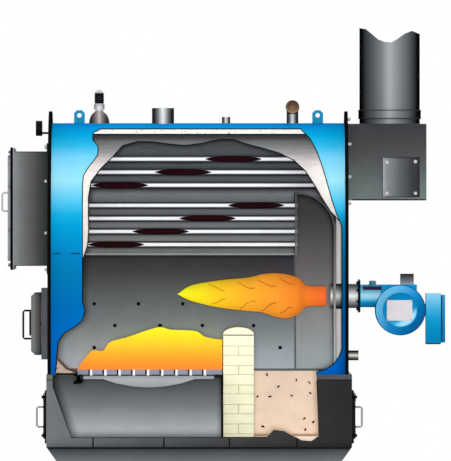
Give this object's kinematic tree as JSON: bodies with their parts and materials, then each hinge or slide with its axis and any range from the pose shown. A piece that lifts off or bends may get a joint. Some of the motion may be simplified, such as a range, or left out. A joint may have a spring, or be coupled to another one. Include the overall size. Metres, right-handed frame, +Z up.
{
  "type": "industrial boiler",
  "caption": "Cutaway firetube boiler over a solid-fuel furnace: arched shell, two tube passes, grate, bridge wall, smokeboxes, hinged doors, stack and burner on a skid",
  "frame": {"origin": "floor level, in the middle of the plant's overall length and width", "axes": "+X along the boiler from the fire-door end to the burner end, +Y to the far side from the cutaway, +Z up"},
  "size_m": [3.352, 1.86, 3.3563],
  "materials": {
    "blue_paint": "gloss blue paint",
    "black_paint": "satin black paint",
    "grey_steel": "dull grey steel",
    "bare_steel": "plain rolled steel",
    "cast_iron": "rough casting",
    "firebrick": "cream firebrick with thin joints",
    "refractory": "cast refractory",
    "glowing_fuel": "glowing solid fuel",
    "lagging": "white mineral wool"
  },
  "bodies": {
    "plant": {"base_end_plates": "grey_steel", "base_floor": "grey_steel", "base_side_plates": "grey_steel", "base_top_frame": "grey_steel", "boiler_fittings": "bare_steel", "bridge_wall": "firebrick", "chamber_tube_sheet": "bare_steel", "cleanout_plate": "grey_steel", "control_cabinet": "blue_paint", "dead_plate": "black_paint", "door_hinge_pins": "black_paint", "fan_housing": "blue_paint", "fire_door_frame": "black_paint", "foundation_ring": "bare_steel", "front_smokebox": "grey_steel", "front_tube_sheet": "black_paint", "fuel_bed": "glowing_fuel", "furnace_front_sheet": "bare_steel", "furnace_wrapper": "bare_steel", "grate_bars": "cast_iron", "grate_bearers": "bare_steel", "jacket": "blue_paint", "lagging": "lagging", "lifting_lugs": "blue_paint", "plenum_end_plate": "black_paint", "pressure_shell": "bare_steel", "rear_smokebox": "grey_steel", "rear_tube_sheet": "black_paint", "refractory_lining": "refractory", "relay_box": "grey_steel", "second_pass_tubes": "bare_steel", "skid_cross_plates": "grey_steel", "skid_side_beams": "grey_steel", "stack": "grey_steel", "third_pass_tubes": "bare_steel", "turnaround_chamber": "bare_steel"},
    "smokebox_door_leaf": {"smokebox_door": "black_paint", "smokebox_door_cover": "grey_steel"},
    "fire_door_leaf": {"fire_door": "cast_iron", "fire_door_lining": "refractory"},
    "front_ash_door_leaf": {"front_ash_door": "grey_steel"},
    "rear_ash_door_leaf": {"rear_ash_door": "grey_steel"}
  },
  "joints": [
    {"name": "smokebox_door_hinge", "type": "hinge", "parent": "plant", "child": "smokebox_door_leaf", "pos_m": [-1.5985, 0.56, 1.9885], "axis": [0, 0, -1], "range_deg": [0, 110]},
    {"name": "fire_door_hinge", "type": "hinge", "parent": "plant", "child": "fire_door_leaf", "pos_m": [-1.399, 0.292, 1.12], "axis": [0, 0, -1], "range_deg": [0, 110]},
    {"name": "front_ash_door_hinge", "type": "hinge", "parent": "plant", "child": "front_ash_door_leaf", "pos_m": [-1.352, 0.28, 0.415], "axis": [0, 0, -1], "range_deg": [0, 110]},
    {"name": "rear_ash_door_hinge", "type": "hinge", "parent": "plant", "child": "rear_ash_door_leaf", "pos_m": [0.987, 0.28, 0.415], "axis": [0, 0, 1], "range_deg": [0, 110]}
  ]
}
